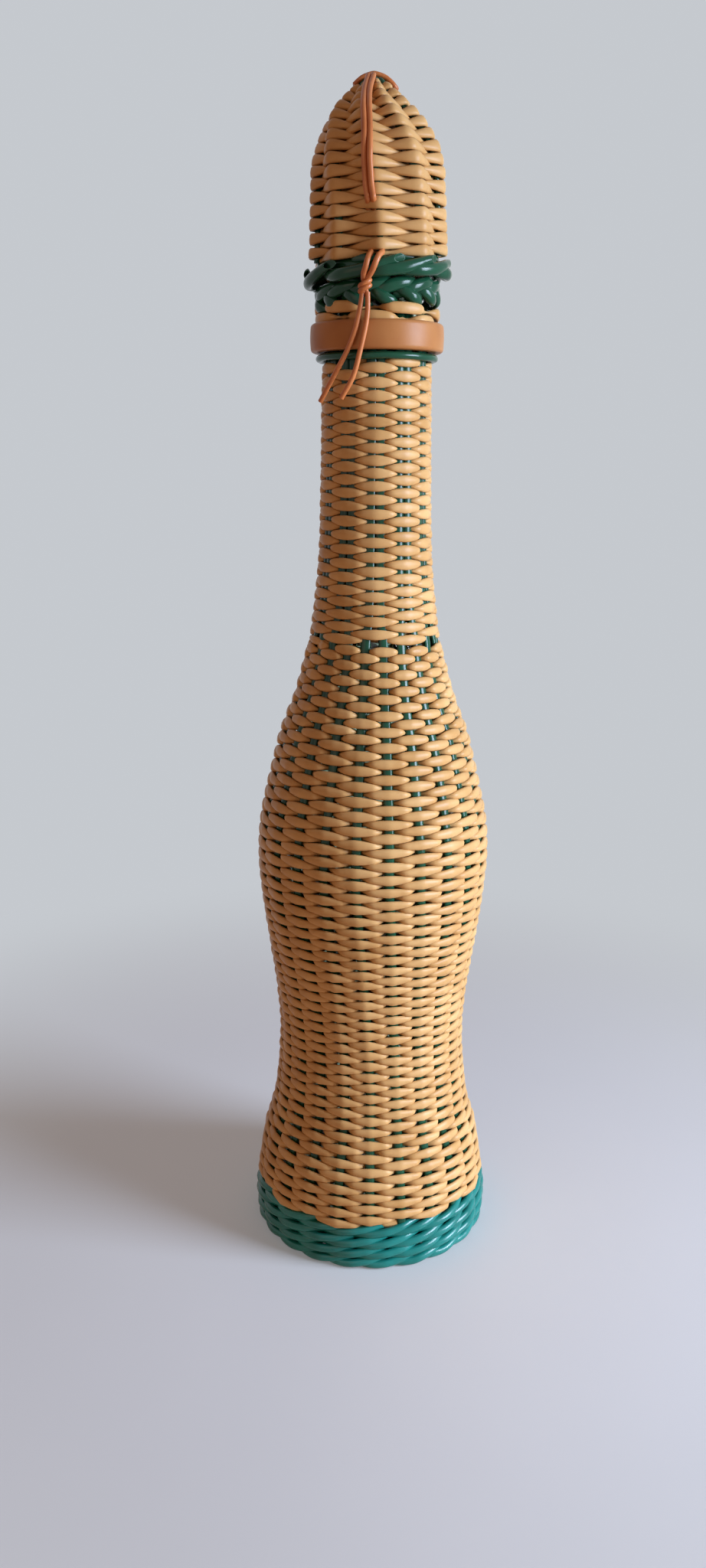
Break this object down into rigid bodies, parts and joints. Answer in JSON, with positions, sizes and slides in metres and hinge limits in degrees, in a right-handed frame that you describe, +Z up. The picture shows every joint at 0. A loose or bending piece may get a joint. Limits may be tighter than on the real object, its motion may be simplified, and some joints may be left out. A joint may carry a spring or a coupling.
{
  "type": "carafe",
  "caption": "Tall waisted glass bottle covered in woven plastic cane, closed by a woven dome cap on a cork with a knotted cord.",
  "frame": {"origin": "centre of the round foot, on the surface that the bottle stands on", "axes": "+Z up along the bottle's axis; the front, where the cord hangs, looks towards -Y"},
  "size_m": [0.0873, 0.0881, 0.396],
  "materials": {
    "cream_cane": "satin extruded plastic cane, cream to honey",
    "green_cane": "glossy extruded plastic tube, dark green",
    "teal_cane": "glossy extruded plastic tube, teal green",
    "brown_plastic": "satin moulded plastic, warm brown",
    "tan_cord": "satin plastic thong, salmon tan",
    "bottle_glass": "clear pale green bottle glass",
    "cork": "natural cork"
  },
  "bodies": {
    "bottle": {"glass_bottle": "bottle_glass", "base_mat": "teal_cane", "foot_wale": "teal_cane", "body_weave": "cream_cane", "neck_weave": "cream_cane", "neck_ring": "green_cane", "collar_ring": "brown_plastic", "collar_rows": "cream_cane", "mouth_braid": "green_cane", "stake_01": "green_cane", "stake_02": "green_cane", "stake_03": "green_cane", "stake_04": "green_cane", "stake_05": "green_cane", "stake_06": "green_cane", "stake_07": "green_cane", "stake_08": "green_cane", "stake_09": "green_cane", "stake_10": "green_cane", "stake_11": "green_cane", "stake_12": "green_cane", "stake_13": "green_cane", "stake_14": "green_cane", "stake_15": "green_cane", "stake_16": "green_cane", "stake_17": "green_cane", "stake_18": "green_cane", "stake_19": "green_cane", "stake_20": "green_cane", "stake_21": "green_cane", "stake_22": "green_cane"},
    "cap": {"cork_stopper": "cork", "cap_weave": "cream_cane", "cap_stake_1": "green_cane", "cap_stake_2": "green_cane", "cap_stake_3": "green_cane", "cap_stake_4": "green_cane", "cap_stake_5": "green_cane", "cap_stake_6": "green_cane", "cap_stake_7": "green_cane", "cap_stake_8": "green_cane", "cap_stake_9": "green_cane", "cap_border_1": "green_cane", "cap_border_2": "green_cane", "cap_border_3": "green_cane", "cap_border_4": "green_cane", "cap_border_5": "green_cane", "cap_border_6": "green_cane", "cap_border_7": "green_cane", "cap_border_8": "green_cane", "cap_border_9": "green_cane", "cord_left": "tan_cord", "cord_right": "tan_cord", "crown_band": "tan_cord", "cord_knot": "tan_cord", "tail_left": "tan_cord", "tail_right": "tan_cord"}
  },
  "joints": [
    {"name": "cap_lift", "type": "slide", "parent": "bottle", "child": "cap", "axis": [0, 0, 1], "range_m": [0, 0.08]}
  ]
}
